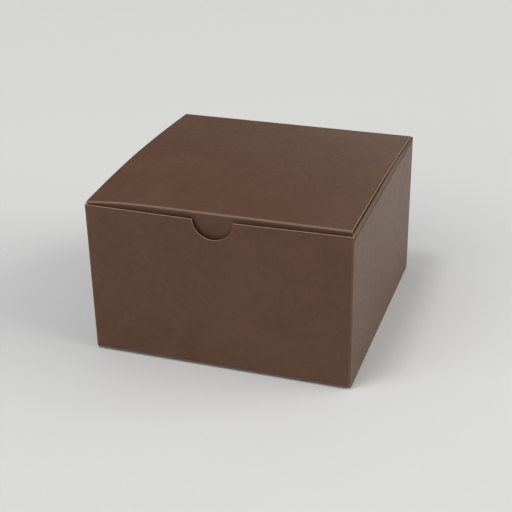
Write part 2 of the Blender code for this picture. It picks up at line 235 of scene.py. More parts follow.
@dataclass(frozen=True)
class BoardFinish:
    """A face of the board: its colours, its grain and its gloss.

    The fold tone shows where the crease attribute is above zero: on the print it is
    lighter, partly worn print and partly a painted highlight where the rounded fold catches
    the light, and on the inside it is darker. The score tone is painted shade: the darker
    line in the groove that the creasing rule presses in, where the attribute named score
    is, and crushed is how much rougher the board is there. The same tone mottles the board
    faintly. A step gives the noise at which a tone starts to show and at which it shows
    fully.
    """

    CLOUD_STEP = (0.36, 0.66)
    MOTTLE_STEP = (0.4, 0.66)
    FLECK_STEP = (0.56, 0.74)
    CLOUD_DETAIL = 4.0
    CLOUD_WARP = 0.6
    GRAIN_DETAIL = 3.0
    GRAINS_TO_A_PATCH = 9
    LEAST_MARKS = 0.6
    PATCHY_MARKS = 0.8
    GRAIN_RELIEF = 0.7
    PATCH_RELIEF = 0.6
    NOISE_MIDDLE = 0.5

    name: str
    base: Colour
    cloud: Colour
    cloud_size: float
    cloud_share: float
    fold_wear_and_shading_tone: Colour
    score_shade_and_mottle_tone: Colour
    fleck: Colour
    fleck_share: float
    grain_size: float
    grain_depth: float
    roughness: float
    roughness_range: float
    gloss: float
    crushed: float = 0.3
    mottle: float = 0.14
    stretch: tuple[float, float, float] = (1.0, 1.0, 1.0)

    def material(self) -> bpy.types.Material:
        """Build the finish.

        Returns:
            A new material.
        """
        made = bpy.data.materials.new(self.name)
        made.use_nodes = True
        graph = Graph(made.node_tree)
        place = graph.node("ShaderNodeTexCoord").outputs["Object"]
        streaked = graph.node(
            "ShaderNodeVectorMath", {"operation": "MULTIPLY"}, {0: place, 1: self.stretch})
        wear_and_shading, score = (
            Signal(graph, graph.node(
                "ShaderNodeAttribute", {"attribute_name": name}).outputs["Fac"])
            for name in ("wear_and_shading", "score"))
        clouds = graph.noise(place, self.cloud_size, self.CLOUD_DETAIL, self.CLOUD_WARP)
        patches, grain = (
            graph.noise(streaked.outputs[0], self.grain_size * grains, self.GRAIN_DETAIL)
            for grains in (self.GRAINS_TO_A_PATCH, 1))
        # Patchy strength of both crease marks: the tone of worn print and painted highlight, and
        # the painted score shade.
        patchy_marks = patches * self.PATCHY_MARKS + self.LEAST_MARKS
        colour = self.base
        for share, tone in (
            (clouds.above(*self.CLOUD_STEP) * self.cloud_share, self.cloud),
            (patches.above(*self.MOTTLE_STEP) * self.mottle, self.score_shade_and_mottle_tone),
            (grain.above(*self.FLECK_STEP) * self.fleck_share, self.fleck),
            # Crease tone: worn print and painted shading, which is a painted highlight on the
            # print.
            (wear_and_shading * patchy_marks, self.fold_wear_and_shading_tone),
            # Painted shade: the score tone darkens the groove that a score presses in.
            (score * patchy_marks, self.score_shade_and_mottle_tone),
        ):
            colour = graph.mix(share, colour, tone)
        patchy_gloss = (patches - self.NOISE_MIDDLE) * self.roughness_range
        rough = self.roughness + patchy_gloss + score * self.crushed
        bump = graph.node("ShaderNodeBump", {}, {
            "Strength": 1.0,
            "Distance": self.grain_depth,
            "Height": grain * self.GRAIN_RELIEF + patches * self.PATCH_RELIEF,
        })
        graph.feed(made.node_tree.nodes["Principled BSDF"], {
            "Base Color": colour,
            "Roughness": rough,
            "Specular IOR Level": self.gloss,
            "Normal": bump.outputs[0],
        })
        return made


PRINT = BoardFinish(
    name="brown_print",
    base=linear(86, 59, 43),
    cloud=linear(91, 64, 48),
    cloud_size=26 * MM,
    cloud_share=0.8,
    # Crease tone: lighter, partly worn print and partly a painted highlight where a rounded fold
    # catches the light.
    fold_wear_and_shading_tone=linear(146, 121, 105),
    score_shade_and_mottle_tone=linear(62, 38, 22),
    fleck=linear(98, 72, 57),
    fleck_share=0.3,
    grain_size=0.35 * MM,
    grain_depth=0.02 * MM,
    roughness=0.42,
    roughness_range=0.12,
    gloss=0.25,
)
KRAFT = BoardFinish(
    name="kraft_inside",
    base=linear(176, 146, 112),
    cloud=linear(186, 157, 124),
    cloud_size=18 * MM,
    cloud_share=0.9,
    # Inside, the crease tone and the score's painted shade are both darker than the board.
    fold_wear_and_shading_tone=linear(158, 128, 96),
    score_shade_and_mottle_tone=linear(140, 112, 84),
    fleck=linear(140, 110, 80),
    fleck_share=0.6,
    grain_size=0.5 * MM,
    grain_depth=0.03 * MM,
    roughness=0.82,
    roughness_range=0.1,
    gloss=0.3,
    stretch=(0.45, 0.45, 1.0),
)
CUT = BoardFinish(
    name="cut_edge",
    base=linear(162, 141, 118),
    cloud=linear(148, 127, 104),
    cloud_size=4 * MM,
    cloud_share=0.8,
    # On cut edges the crease tone is a little lighter and the score's painted shade darker.
    fold_wear_and_shading_tone=linear(168, 147, 124),
    score_shade_and_mottle_tone=linear(120, 94, 70),
    fleck=linear(126, 102, 80),
    fleck_share=0.5,
    grain_size=0.18 * MM,
    grain_depth=0.03 * MM,
    roughness=0.88,
    roughness_range=0.08,
    gloss=0.2,
)


def smooth(share: float) -> float:
    """Return a smooth step of a share, held between 0 and 1."""
    held = min(max(share, 0.0), 1.0)
    return held * held * (3 - 2 * held)


def arc_points(centre: Point, radius: float, start: float, end: float, steps: int) -> list[Point]:
    """Find points along an arc.

    Args:
        centre: The arc's centre.
        radius: Its radius.
        start: The angle that it starts at, in radians.
        end: The angle that it ends at.
        steps: How many pieces it is cut into.

    Returns:
        The points, both ends among them.
    """
    turns = [start + (end - start) * step / steps for step in range(steps + 1)]
    return [(centre[0] + radius * math.cos(t), centre[1] + radius * math.sin(t)) for t in turns]


def rounded(corners: list[tuple[float, float, float]]) -> list[Point]:
    """Round an outline's corners.

    Args:
        corners: Each corner with its radius, where 0 leaves it sharp.

    Returns:
        The outline's points.
    """
    outline: list[Point] = []
    for index, (x, y, radius) in enumerate(corners):
        if radius == 0.0:
            outline.append((x, y))
            continue
        here = Vector((x, y))
        back = (Vector(corners[index - 1][:2]) - here).normalized()
        ahead = (Vector(corners[(index + 1) % len(corners)][:2]) - here).normalized()
        half = back.angle(ahead) / 2
        centre = here + (back + ahead).normalized() * (radius / math.sin(half))
        run = radius / math.tan(half)
        first = here + back * run - centre
        last = here + ahead * run - centre
        start = math.atan2(first.y, first.x)
        sweep = first.angle_signed(last)
        outline.extend(arc_points(tuple(centre), radius, start, start - sweep, CORNER_STEPS))
    return outline


def new_object(name: str, data: bpy.types.ID) -> bpy.types.Object:
    """Add an object to the scene.

    Args:
        name: Its name.
        data: Its mesh, curve, light or camera.

    Returns:
        The object.
    """
    made = bpy.data.objects.new(name, data)
    bpy.context.scene.collection.objects.link(made)
    return made


@dataclass(frozen=True)
class Fold:
    """A crease's stretch of a path, and how strong its tone of worn print and painted shading is.
    """

    start: float
    end: float
    wear_and_shading: float


class FoldPath:
    """The printed face of a folded board, seen end on, as it leaves the box outwards and up.

    It keeps its length along the board at every point, so that a flat blank can be
    scored and folded along it.
    """

    CREASE_FADE_STEPS = (0.1 * MM, 0.3 * MM)
    SAME_POINT = 1e-9

    def __init__(self, start: Point) -> None:
        """Start the path.

        Args:
            start: Its first point.
        """
        self.points: list[Point] = [start]
        self.lengths: list[float] = [0.0]
        self.folds: list[Fold] = []

    @property
    def length(self) -> float:
        """Return the length so far."""
        return self.lengths[-1]

    def to(self, *points: Point) -> "FoldPath":
        """Go straight from point to point, leaving out steps of no length.

        Args:
            points: The next points.

        Returns:
            The path itself.
        """
        for point in points:
            step = math.dist(self.points[-1], point)
            if step > self.SAME_POINT:
                self.points.append(point)
                self.lengths.append(self.length + step)
        return self

    def round(self, points: list[Point], wear_and_shading: float) -> None:
        """Go round a crease's arc.

        Args:
            points: The arc's points.
            wear_and_shading: How strong its crease tone is: worn print and painted shading.
        """
        start = self.to(points[0]).length
        self.to(*points[1:])
        self.folds.append(Fold(start, self.length, wear_and_shading))

    def scores(self) -> list[float]:
        """Return every length at which a blank is scored to fold along this path."""
        beside = [
            length for fold in self.folds for step in self.CREASE_FADE_STEPS
            for length in (fold.start - step, fold.end + step)
        ]
        return sorted(self.lengths + beside)

    def wear_and_shading_at(self, length: float) -> float:
        """Find the crease tone's strength, of worn print and painted shading, fading off each
        fold.

        Args:
            length: The length along the board.

        Returns:
            The strength, from 0 to 1.
        """
        reach = self.CREASE_FADE_STEPS[-1]
        shares = [0.0]
        for fold in self.folds:
            away = max(fold.start - length, length - fold.end, 0.0)
            shares.append(fold.wear_and_shading * (1.0 - min(away / reach, 1.0)))
        return max(shares)


class Blank:
    """A flat piece of board: X runs along its fold path, Y across it.

    Its marks are rules that give each flat point a value, which is 0 if nothing else is
    said: how strong its crease tone of worn print and painted shading is, how dark the
    painted shade of a score's groove is, and how far it is lifted.
    """

    GRID = 4.5 * MM
    CUT_TOLERANCE = 1e-7

    def __init__(self, name: str, outline: list[Point]) -> None:
        """Cut the outline.

        Args:
            name: The piece's name.
            outline: Its corners.
        """
        self.name = name
        self.bm = bmesh.new()
        self.bm.faces.new([self.bm.verts.new((x, y, 0.0)) for x, y in outline])
        self.bm.normal_update()
        if self.bm.faces[:][0].normal.z < 0:
            bmesh.ops.reverse_faces(self.bm, faces=self.bm.faces)
        self.marks: dict[str, Callable[[Vector], float]] = dict.fromkeys(
            ("wear_and_shading", "score", "lift"), lambda co: 0.0)

    def score(self, at: Point, across: Point = (1.0, 0.0)) -> None:
        """Cut the mesh along a line, so that it can bend there.

        Args:
            at: A point of the line.
            across: A direction square to the line.
        """
        geometry = self.bm.verts[:] + self.bm.edges[:] + self.bm.faces[:]
        bmesh.ops.bisect_plane(
            self.bm, geom=geometry, dist=self.CUT_TOLERANCE,
            plane_co=(*at, 0.0), plane_no=(*across, 0.0))

    def score_path(self, path: FoldPath) -> None:
        """Score every fold of a path and a light grid across the board, and mark the crease tone.

        Args:
            path: The path that the blank is folded along.
        """
        low = min(v.co.x for v in self.bm.verts)
        high = max(v.co.x for v in self.bm.verts)
        for length in path.scores():
            if low < length < high:
                self.score((length, 0.0))
        start = min(v.co.y for v in self.bm.verts)
        end = max(v.co.y for v in self.bm.verts)
        rows = int((end - start) / self.GRID)
        for row in range(1, rows):
            self.score((0.0, start + (end - start) * row / rows), (0.0, 1.0))
        self.marks["wear_and_shading"] = lambda co: path.wear_and_shading_at(co.x)

    def mesh(self) -> bpy.types.Mesh:
        """Finish the blank.

        Returns:
            The flat mesh with its marks.
        """
        mesh = bpy.data.meshes.new(self.name)
        self.bm.to_mesh(mesh)
        self.bm.free()
        for attribute, rule in self.marks.items():
            values = mesh.attributes.new(attribute, "FLOAT", "POINT")
            values.data.foreach_set("value", [rule(v.co) for v in mesh.vertices])
        return mesh


class BoardPress:
    """Folds blanks: a Geometry Nodes tree that bends, thickens and paints a flat blank."""

    WELD = 0.002 * MM
    SHARP_ANGLE = math.radians(40)

    def __init__(self, board: float, finishes: dict[str, bpy.types.Material]) -> None:
        """Build the tree.

        Args:
            board: The board's thickness.
            finishes: The materials of its Print, its Inside and its Cut edge.
        """
        self.board = board
        self.finishes = finishes
        self.tree = bpy.data.node_groups.new("folded_board", "GeometryNodeTree")
        self.inputs: dict[str, str] = {}
        self._declare()
        self._wire()

    def _declare(self) -> None:
        """Name the tree's inputs and its output."""
        face = self.tree.interface
        face.new_socket("Blank", in_out="INPUT", socket_type="NodeSocketGeometry")
        kinds = {
            "Fold path": "NodeSocketObject",
            "Across": "NodeSocketVector",
            "Board thickness": "NodeSocketFloat",
            "Lift height": "NodeSocketFloat",
            **dict.fromkeys(self.finishes, "NodeSocketMaterial"),
        }
        for name, kind in kinds.items():
            socket = face.new_socket(name, in_out="INPUT", socket_type=kind)
            self.inputs[name] = socket.identifier
        face.new_socket("Panel", in_out="OUTPUT", socket_type="NodeSocketGeometry")

    def _wire(self) -> None:
        """Wire the tree: bend along the path, thicken, paint and join."""
        graph = Graph(self.tree)
        given = graph.node("NodeGroupInput").outputs
        path = graph.node(
            "GeometryNodeObjectInfo", {"transform_space": "ORIGINAL"},
            {"Object": given["Fold path"]},
        ).outputs["Geometry"]
        flat = graph.node("ShaderNodeSeparateXYZ", {}, {
            0: graph.node("GeometryNodeInputPosition").outputs[0]}).outputs
        bent = graph.node(
            "GeometryNodeSampleCurve", {"mode": "LENGTH", "use_all_curves": True},
            {"Curves": path, "Length": flat["X"]},
        ).outputs["Position"]
        sideways = graph.node(
            "ShaderNodeVectorMath", {"operation": "SCALE"},
            {0: given["Across"], "Scale": flat["Y"]},
        ).outputs[0]
        place = graph.node(
            "ShaderNodeVectorMath", {"operation": "ADD"}, {0: bent, 1: sideways}).outputs[0]
        folded = graph.node("GeometryNodeSetPosition", {}, {
            "Geometry": given["Blank"], "Position": place}).outputs[0]
        lift = Signal(graph, graph.node(
            "GeometryNodeInputNamedAttribute", {"data_type": "FLOAT"}, {"Name": "lift"},
        ).outputs["Attribute"])
        rise = lift * Signal(graph, given["Lift height"])
        upwards = graph.node("ShaderNodeCombineXYZ", {}, {"Z": rise}).outputs[0]
        lifted = graph.node("GeometryNodeSetPosition", {}, {
            "Geometry": folded, "Offset": upwards}).outputs[0]
        inwards = Signal(graph, given["Board thickness"]) * -1.0
        thick = graph.node(
            "GeometryNodeExtrudeMesh", {"mode": "FACES"},
            {"Mesh": lifted, "Offset Scale": inwards, "Individual": False},
        ).outputs
        inside = graph.node("GeometryNodeFlipFaces", {}, {0: thick["Mesh"]}).outputs[0]
        for selection, finish in ((thick["Top"], "Inside"), (thick["Side"], "Cut edge")):
            inside = graph.node("GeometryNodeSetMaterial", {}, {
                "Geometry": inside, "Selection": selection, "Material": given[finish]}).outputs[0]
        outside = graph.node("GeometryNodeSetMaterial", {}, {
            "Geometry": lifted, "Material": given["Print"]}).outputs[0]
        joined = graph.node("GeometryNodeJoinGeometry")
        for half in (inside, outside):
            self.tree.links.new(half, joined.inputs[0])
        merged = graph.node("GeometryNodeMergeByDistance", {}, {
            "Geometry": joined.outputs[0], "Distance": self.WELD}).outputs[0]
        real = graph.node("GeometryNodeRealizeInstances", {}, {0: merged}).outputs[0]
        graph.node("NodeGroupOutput", {}, {0: real})

    def fold(self, blank: Blank, route: list[Vector], across: Vector,
             lift: float = 0.0) -> bpy.types.Object:
        """Fold a blank.

        Args:
            blank: The flat piece, scored.
            route: The fold path's points in the frame.
            across: The direction that the blank's Y takes.
            lift: How high a point with a lift of 1 is raised.

        Returns:
            The folded panel as a plain mesh at the origin.
        """
        guide = self._guide(route)
        flat = new_object(blank.name + "_flat", blank.mesh())
        press = flat.modifiers.new("fold", "NODES")
        press.node_group = self.tree
        values = {
            "Fold path": guide,
            "Across": tuple(across),
            "Board thickness": self.board,
            "Lift height": lift,
            **self.finishes,
        }
        for name, value in values.items():
            press[self.inputs[name]] = value
        bpy.context.view_layer.update()
        ready = flat.evaluated_get(bpy.context.evaluated_depsgraph_get())
        mesh = bpy.data.meshes.new_from_object(ready)
        panel = new_object(blank.name, mesh)
        for spare in (flat, guide):
            bpy.data.objects.remove(spare, do_unlink=True)
        mesh.shade_smooth()
        mesh.set_sharp_from_angle(angle=self.SHARP_ANGLE)
        LOG.info("%s: %d faces", panel.name, len(mesh.polygons))
        return panel

    @staticmethod
    def _guide(route: list[Vector]) -> bpy.types.Object:
        """Draw a curve along a fold path.

        Args:
            route: The path's points in the frame.

        Returns:
            The curve's object.
        """
        curve = bpy.data.curves.new("fold_guide", "CURVE")
        curve.dimensions = "3D"
        spline = curve.splines.new("POLY")
        spline.points.add(len(route) - 1)
        for point, place in zip(spline.points, route):
            point.co = (*place, 1.0)
        return new_object("fold_guide", curve)


@dataclass(frozen=True)
class Board:
    """Sizes that every panel shares.

    The layer is the gap between two layers of board, and the fold is the outer radius of a
    crease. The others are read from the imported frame.
    """

    thickness: float
    half_width: float
    half_depth: float
    wall_top: float
    lid_axis: Vector
    tuck_axis: Vector
    dust_axis: Vector
    layer: float = 0.3 * MM
    fold: float = 0.9 * MM

    @classmethod
    def read(cls, frame: dict[str, Any]) -> "Board":
        """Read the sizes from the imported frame.


        Returns:
            The shared sizes.
        """
        axes = {j["name"]: Vector(j["pos_m"]) for j in frame["record"]["behaviour"]["joints"]}
        low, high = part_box("front_wall")
        side_low, side_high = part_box("right_wall")
        return cls(
            thickness=side_high.x - side_low.x,
            half_width=high.x,
            half_depth=-low.y,
            wall_top=high.z,
            lid_axis=axes["lid_hinge"],
            tuck_axis=axes["tuck_crease"],
            dust_axis=axes["dust_right_crease"],
        )

    @property
    def main_level(self) -> float:
        """Return the height of the main bottom flaps' lower face."""
        return self.thickness + self.layer

    @property
    def main_wall_foot(self) -> float:
        """Return where the front and back walls turn into the main bottom flaps."""
        return self.main_level + self.fold

    @property
    def dust_crease_foot(self) -> float:
        """Return the height at which a side wall turns into its dust flap."""
        return self.dust_axis.z + self.thickness / 2 - self.fold

    @property
    def lid_crease_foot(self) -> float:
        """Return the height at which the back wall turns into the lid."""
        return self.lid_axis.z + self.thickness / 2 - self.fold


@dataclass
class Sleeve:
    """The four walls and the seam tab: one strip folded round four corners.

    The front wall's top edge isn't quite level: front_heights are its heights at its left
    end, at the notch's two mouth corners and at its right end. The back wall's right corner
    stands up in a small ear beside the lid's crease.
    """

    board: Board
    press: BoardPress
    notch_radius: float = 9.75 * MM
    notch_mouth: float = 0.3 * MM
    notch_shift: float = -1.15 * MM
    notch_steps: int = 40
    mouth_steps: int = 5
    corner_relief: float = 0.7 * MM
    front_heights: tuple[float, ...] = (0.0, -0.45 * MM, -0.12 * MM, 0.72 * MM)
    ear_width: float = 1.1 * MM
    ear_rise: float = 0.5 * MM
    tab_width: float = 16 * MM
    tab_taper: float = 5 * MM
    tab_clearance: float = 2.4 * MM
    # How strongly the crease tone of worn print and painted highlight shows at the wall corners.
    corner_wear_and_shading: float = 0.08
    # How dark the painted shade of the dust crease's score groove is, and how far it reaches down
    # the wall.
    score: float = 0.75
    score_band: float = 0.5 * MM
    fold_steps: int = 8

    def path(self) -> FoldPath:
        """Draw the sleeve's plan.

        Returns:
            Its path, from the left wall's raw edge round to the seam tab.
        """
        b = self.board
        x, y, r = b.half_width, b.half_depth, b.fold
        seam = x - b.thickness - b.layer
        path = FoldPath((-x, y))
        quarter = math.pi / 2
        for centre, turn in (
            ((-x + r, -y + r), 2),
            ((x - r, -y + r), 3),
            ((x - r, y - r), 0),
            ((-seam + r, y - r), 1),
        ):
            start, end = turn * quarter, (turn + 1) * quarter
            path.round(arc_points(centre, r, start, end, self.fold_steps), self.corner_wear_and_shading)
        return path.to((-seam, path.points[-1][1] - self.tab_width))

    def notch(self, middle: float) -> list[Point]:
        """Return the thumb notch's edge, from its left to its right mouth corner.

        Args:
            middle: The notch's middle, along the strip.

        Returns:
            Its points.
        """
        top, radius, mouth = self.board.wall_top, self.notch_radius, self.notch_mouth
        spread = math.sqrt((radius + mouth) ** 2 - mouth ** 2)
        dip, quarter, steps = math.atan2(mouth, spread), math.pi / 2, self.mouth_steps
        left = arc_points((middle - spread, top - mouth), mouth, quarter, dip, steps)
        right = arc_points((middle + spread, top - mouth), mouth, math.pi - dip, quarter, steps)
        bowl = arc_points(
            (middle, top), radius, math.pi + dip, 2 * math.pi - dip, self.notch_steps)
        return left + bowl[1:-1] + right

    def uneven(self, points: list[Point]) -> list[Point]:
        """Set the front wall's top edge a little off level, but for the notch's foot.

        Args:
            points: The edge: its left end, the notch and its right end.

        Returns:
            The points, each at its own height.
        """
        places = (points[0][0], points[1][0], points[-2][0], points[-1][0])
        spans = list(zip(places, places[1:], self.front_heights, self.front_heights[1:]))
        moved = []
        for x, y in points:
            start, end, low, high = next((s for s in spans if x <= s[1]), spans[-1])
            height = low + (high - low) * (x - start) / (end - start)
            depth = (self.board.wall_top - y) / self.notch_radius
            moved.append((x, y + height * (1.0 - min(depth, 1.0))))
        return moved

    def outline(self, path: FoldPath) -> list[Point]:
        """Return the flat strip's outline.

        Args:
            path: The plan that it is folded along.

        Returns:
            Its corners, with the thumb notch.
        """
        b, gap = self.board, self.corner_relief
        side_top, back_top, foot = b.dust_crease_foot, b.lid_crease_foot, b.main_wall_foot
        front_left, front_right, back_right, seam = path.folds
        left, right, back = front_left.start - gap, front_right.end + gap, back_right.start - gap
        middle = (front_left.end + front_right.start) / 2 + self.notch_shift
        ear_end = back_right.end + self.ear_width - b.fold
        ear_top = back_top + self.ear_rise
        tab_low = b.main_level + 2 * b.thickness + b.layer + self.tab_clearance
        tab_high = side_top - self.tab_clearance
        return [
            (0.0, side_top), (left, side_top),
            *self.uneven([(left, b.wall_top), *self.notch(middle), (right, b.wall_top)]),
            (right, side_top), (back, side_top), (back, ear_top), (ear_end, ear_top),
            (ear_end, back_top), (seam.end, back_top),
            (seam.end, tab_high), (path.length, tab_high - self.tab_taper),
            (path.length, tab_low + self.tab_taper), (seam.end, tab_low),
            (seam.end, foot), (back, foot), (back, b.fold),
            (right, b.fold), (right, foot), (left, foot), (left, b.fold), (0.0, b.fold),
        ]

    def build(self) -> bpy.types.Object:
        """Fold the sleeve.

        Returns:
            The folded strip.
        """
        path = self.path()
        blank = Blank("sleeve_board", self.outline(path))
        blank.score_path(path)
        side_top = self.board.dust_crease_foot
        blank.score((0.0, side_top - self.score_band), (0.0, 1.0))
        front_left, front_right, back_right, _ = path.folds

        def painted_score_shade(co: Vector) -> float:
            """Return how dark the painted shade of the score's groove is, where the dust creases
            begin.
            """
            on_side = co.x < front_left.start or front_right.end < co.x < back_right.start
            return on_side * self.score * max(1.0 + (co.y - side_top) / self.score_band, 0.0)

        blank.marks["score"] = painted_score_shade
        route = [Vector((x, y, 0.0)) for x, y in path.points]
        return self.press.fold(blank, route, UP)

    def dress(self, piece: bpy.types.Object) -> None:
        """Hang the sleeve on its body and hide the CAD walls and seam tab that it stands for.

        Args:
            piece: The folded sleeve.
        """
        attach(piece, "sleeve")
        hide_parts("front_wall", "right_wall", "back_wall", "left_wall", "seam_tab")


class Side(Enum):
    """A side of the box, by the direction that it faces."""

    FRONT = (0.0, -1.0)
    RIGHT = (1.0, 0.0)
    BACK = (0.0, 1.0)
    LEFT = (-1.0, 0.0)

    @property
    def outward(self) -> Vector:
        """Return the direction away from the box."""
        return Vector((*self.value, 0.0))

    def route(self, path: FoldPath) -> list[Vector]:
        """Return a path's points in the frame, from distance outwards and height."""
        return [self.outward * out + UP * height for out, height in path.points]


@dataclass
class LockBottom:
    """The self locking bottom: two main flaps that hook together, two side flaps with lugs."""

    board: Board
    press: BoardPress
    side_clearance: float = 1.0 * MM
    side_taper: float = 1.5 * MM
    short_setback: float = 2.0 * MM
    ramp_run: float = 4.0 * MM
    overlap: float = 14.0 * MM
    tongue_radius: float = 12.0 * MM
    short_radius: float = 5.0 * MM
    slot_width: float = 2.0 * MM
    slot_run: float = 3.0 * MM
    hook_reach: float = 4.0 * MM
    hook_length: float = 4.5 * MM
    hook_radius: float = 1.6 * MM
    flap_depth: float = 38.0 * MM
    end_clearance: float = 1.2 * MM
    flap_taper: float = 14.0 * MM
    flap_radius: float = 3.0 * MM
    lug_width: float = 20.0 * MM
    lug_clearance: float = 1.5 * MM
    lug_radius: float = 2.5 * MM
    # How strongly the crease tone of worn print and painted highlight shows on the bottom
    # creases.
    wear_and_shading: float = 0.3
    diagonal_band: float = 0.5 * MM
    fold_steps: int = 8

    def path(self, half: float, level: float, reach: float) -> FoldPath:
        """Return a bottom flap's path: down its wall's last edge, round, and inwards.

        Args:
            half: How far the wall's outer face is from the middle.
            level: The height of the flap's lower face.
            reach: How far the flap runs in from its fold.

        Returns:
            The path.
        """
        r = self.board.fold
        path = FoldPath((half, level + r))
        path.round(
            arc_points((half - r, level + r), r, 0.0, -math.pi / 2, self.fold_steps), self.wear_and_shading)
        return path.to((half - r - reach, level))

    def main_outline(self, start: float) -> list[Point]:
        """Return a main flap's outline: a short half, a slot, and a tongue with its hook.

        Args:
            start: The length along the path at which the flap is flat.

        Returns:
            The outline.
        """
        b = self.board
        half = b.half_width - b.thickness - self.side_clearance
        far = start + b.half_depth - b.fold + self.overlap
        short = far - self.overlap - self.short_setback
        root = short - self.ramp_run - self.slot_run
        slot = self.slot_width / 2
        nose = self.hook_reach - slot
        taper = self.side_taper
        return rounded([
            (0.0, -half, 0.0), (0.0, half, 0.0), (short, half - taper, self.short_radius),
            (short, slot, 0.0), (root, slot, 0.0), (root, -slot, 0.0),
            (far - self.hook_length, -slot, 0.0),
            (far - self.hook_length, nose, self.hook_radius), (far, nose, self.hook_radius),
            (far, -half + taper, self.tongue_radius),
        ])

    def build_main(self, name: str, side: Side) -> bpy.types.Object:
        """Fold a main flap.

        Args:
            name: The piece's name.
            side: The wall that it hangs on.

        Returns:
            The flap.
        """
        b = self.board
        path = self.path(b.half_depth, b.main_level, b.half_depth - b.fold + self.overlap)
        start = path.folds[0].end
        ramp_end = start + b.half_depth - b.fold - self.short_setback
        ramp_start = ramp_end - self.ramp_run
        short_end = ramp_end + self.short_setback
        blank = Blank(name, self.main_outline(start))
        for step in range(self.fold_steps + 1):
            blank.score((ramp_start + self.ramp_run * step / self.fold_steps, 0.0))
        blank.score_path(path)

        def lift(co: Vector) -> float:
            """Return how far up its ramp the tongue's half is, with its hook."""
            flat = co.x <= ramp_start or (co.y > 0 and co.x < short_end)
            return 0.0 if flat else smooth((co.x - ramp_start) / self.ramp_run)

        blank.marks["lift"] = lift
        across = UP.cross(side.outward)
        return self.press.fold(blank, side.route(path), across, b.thickness + b.layer)

    def side_outline(self, start: float) -> list[Point]:
        """Return a side flap's outline with its glue lug, which are one piece of board.

        Args:
            start: The length along the path at which the flap is flat.

        Returns:
            The outline.
        """
        b = self.board
        inner = b.half_depth - b.thickness
        free = inner - self.end_clearance
        corner = b.half_depth - b.fold
        wall = inner - self.lug_clearance
        run = self.lug_width / math.sqrt(2)
        depth = self.flap_depth
        return rounded([
            (0.0, -free, 0.0), (start + depth, -free + self.flap_taper, self.flap_radius),
            (start + depth, corner - depth, 0.0),
            (start + depth + run, corner - depth + run, self.lug_radius),
            (start + corner + 2 * run - wall, wall, self.lug_radius),
            (start + corner - wall, wall, 0.0), (start, corner, 0.0), (0.0, corner, 0.0),
        ])

    def build_side(self, name: str, side: Side) -> bpy.types.Object:
        """Fold a side flap with its lug, scored along the diagonal crease.

        Args:
            name: The piece's name.
            side: The wall that it hangs on.

        Returns:
            The flap.
        """
        b, band, slant = self.board, self.diagonal_band, 1 / math.sqrt(2)
        path = self.path(b.half_width, 0.0, self.flap_depth + self.lug_width)
        start = path.folds[0].end
        corner = start + b.half_depth - b.fold
        blank = Blank(name, self.side_outline(start))
        for offset in (-band, -band / 2, 0.0, band / 2, band):
            blank.score((corner + offset / slant, 0.0), (slant, slant))
        blank.score_path(path)

        def wear_and_shading(co: Vector) -> float:
            """Return the crease tone's strength by the wall's fold and the diagonal crease."""
            away = abs(co.x + co.y - corner) * slant if co.x > start else band
            return max(path.wear_and_shading_at(co.x), self.wear_and_shading * (1.0 - min(away / band, 1.0)))

        blank.marks["wear_and_shading"] = wear_and_shading
        return self.press.fold(blank, side.route(path), UP.cross(side.outward))

    def build(self) -> dict[str, bpy.types.Object]:
        """Fold the four bottom flaps.

        Returns:
            Each flap by the CAD node's name.
        """
        return {
            "bottom_front_flap": self.build_main("bottom_front_board", Side.FRONT),
            "bottom_back_flap": self.build_main("bottom_back_board", Side.BACK),
            "bottom_left_flap": self.build_side("bottom_left_board", Side.LEFT),
            "bottom_right_flap": self.build_side("bottom_right_board", Side.RIGHT),
        }

    def dress(self, pieces: dict[str, bpy.types.Object]) -> None:
        """Hang each flap on the sleeve's body and hide the CAD flap and lug that it stands for.

        Args:
            pieces: Each flap by the CAD node's name.
        """
        lugs = {"bottom_left_flap": "glue_lug_left", "bottom_right_flap": "glue_lug_right"}
        for node, piece in pieces.items():
            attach(piece, "sleeve")
            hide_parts(*filter(None, (node, lugs.get(node))))


